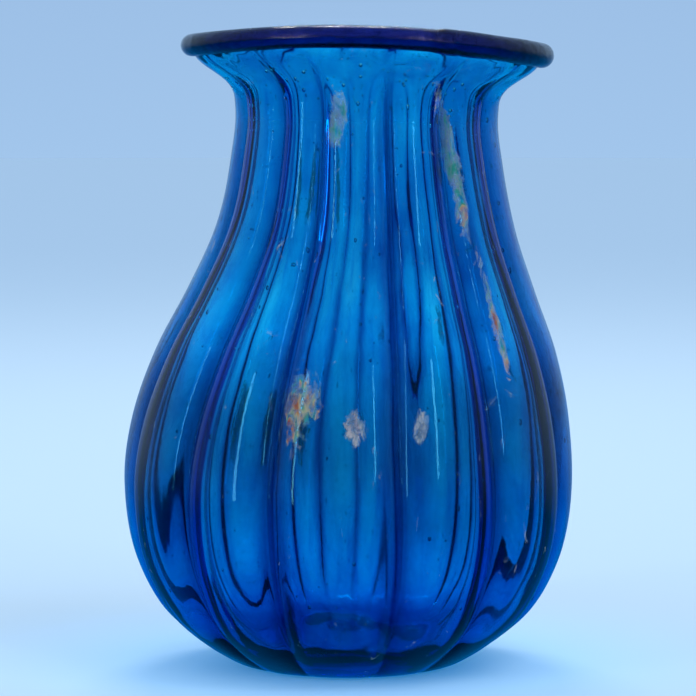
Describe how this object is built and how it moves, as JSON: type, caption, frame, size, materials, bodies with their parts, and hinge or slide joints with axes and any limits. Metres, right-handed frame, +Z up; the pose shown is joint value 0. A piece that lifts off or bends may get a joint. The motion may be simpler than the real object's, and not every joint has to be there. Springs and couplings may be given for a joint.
{
  "type": "ribbed glass vase",
  "caption": "Hand-blown glass vase with a ribbed pear-shaped body, a narrow neck, a flared mouth edged with a thick dark bead, and a hollow foot.",
  "frame": {"origin": "middle of the foot on the surface that the vase stands on, under the belly's axis", "axes": "+Z up to the mouth, -Y the front, +X the side towards which the neck is offset and the lip leans down"},
  "size_m": [0.0908, 0.0908, 0.129],
  "materials": {
    "body_glass": "clear turquoise-blue blown glass with seed bubbles and patches of iridescent film",
    "lip_glass": "dark cobalt-blue glass, fire polished",
    "punty_glass": "turquoise-blue glass, broken off and softened in the fire"
  },
  "bodies": {
    "root": {"vase_body": "body_glass", "lip_wrap": "lip_glass", "pontil_button": "punty_glass"}
  },
  "joints": []
}
